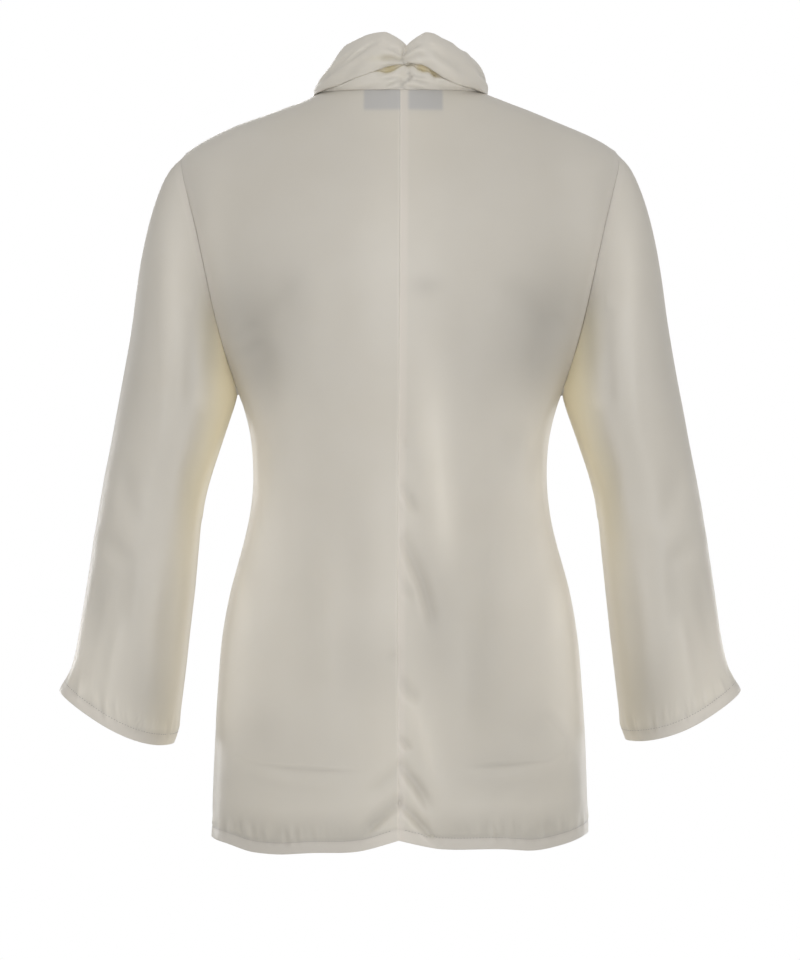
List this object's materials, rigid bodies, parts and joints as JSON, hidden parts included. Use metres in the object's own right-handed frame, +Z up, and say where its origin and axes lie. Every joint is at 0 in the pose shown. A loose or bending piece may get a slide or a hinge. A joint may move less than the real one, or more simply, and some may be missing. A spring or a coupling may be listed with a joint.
{
  "type": "pull-on blouse with a gathered collar",
  "caption": "Long-sleeved pull-on blouse in ivory satin crepe, filled out as worn, with a soft doubled collar gathered at the centre back.",
  "frame": {"origin": "midway between the shoulder ends of the neck seam and level with them, where the wearer's shoulders carry the blouse", "axes": "+Z up, -Y the way the front faces, +X the wearer's left"},
  "size_m": [0.626, 0.2346, 0.7335],
  "materials": {
    "satin_crepe": "ivory silk, satin outside and crepe inside, soft sheen",
    "label_weave": "woven tape, matte, blank"
  },
  "bodies": {
    "root": {"back_left": "satin_crepe", "back_right": "satin_crepe", "front": "satin_crepe", "sleeve_left": "satin_crepe", "sleeve_right": "satin_crepe", "collar": "satin_crepe", "label": "label_weave"}
  },
  "joints": []
}
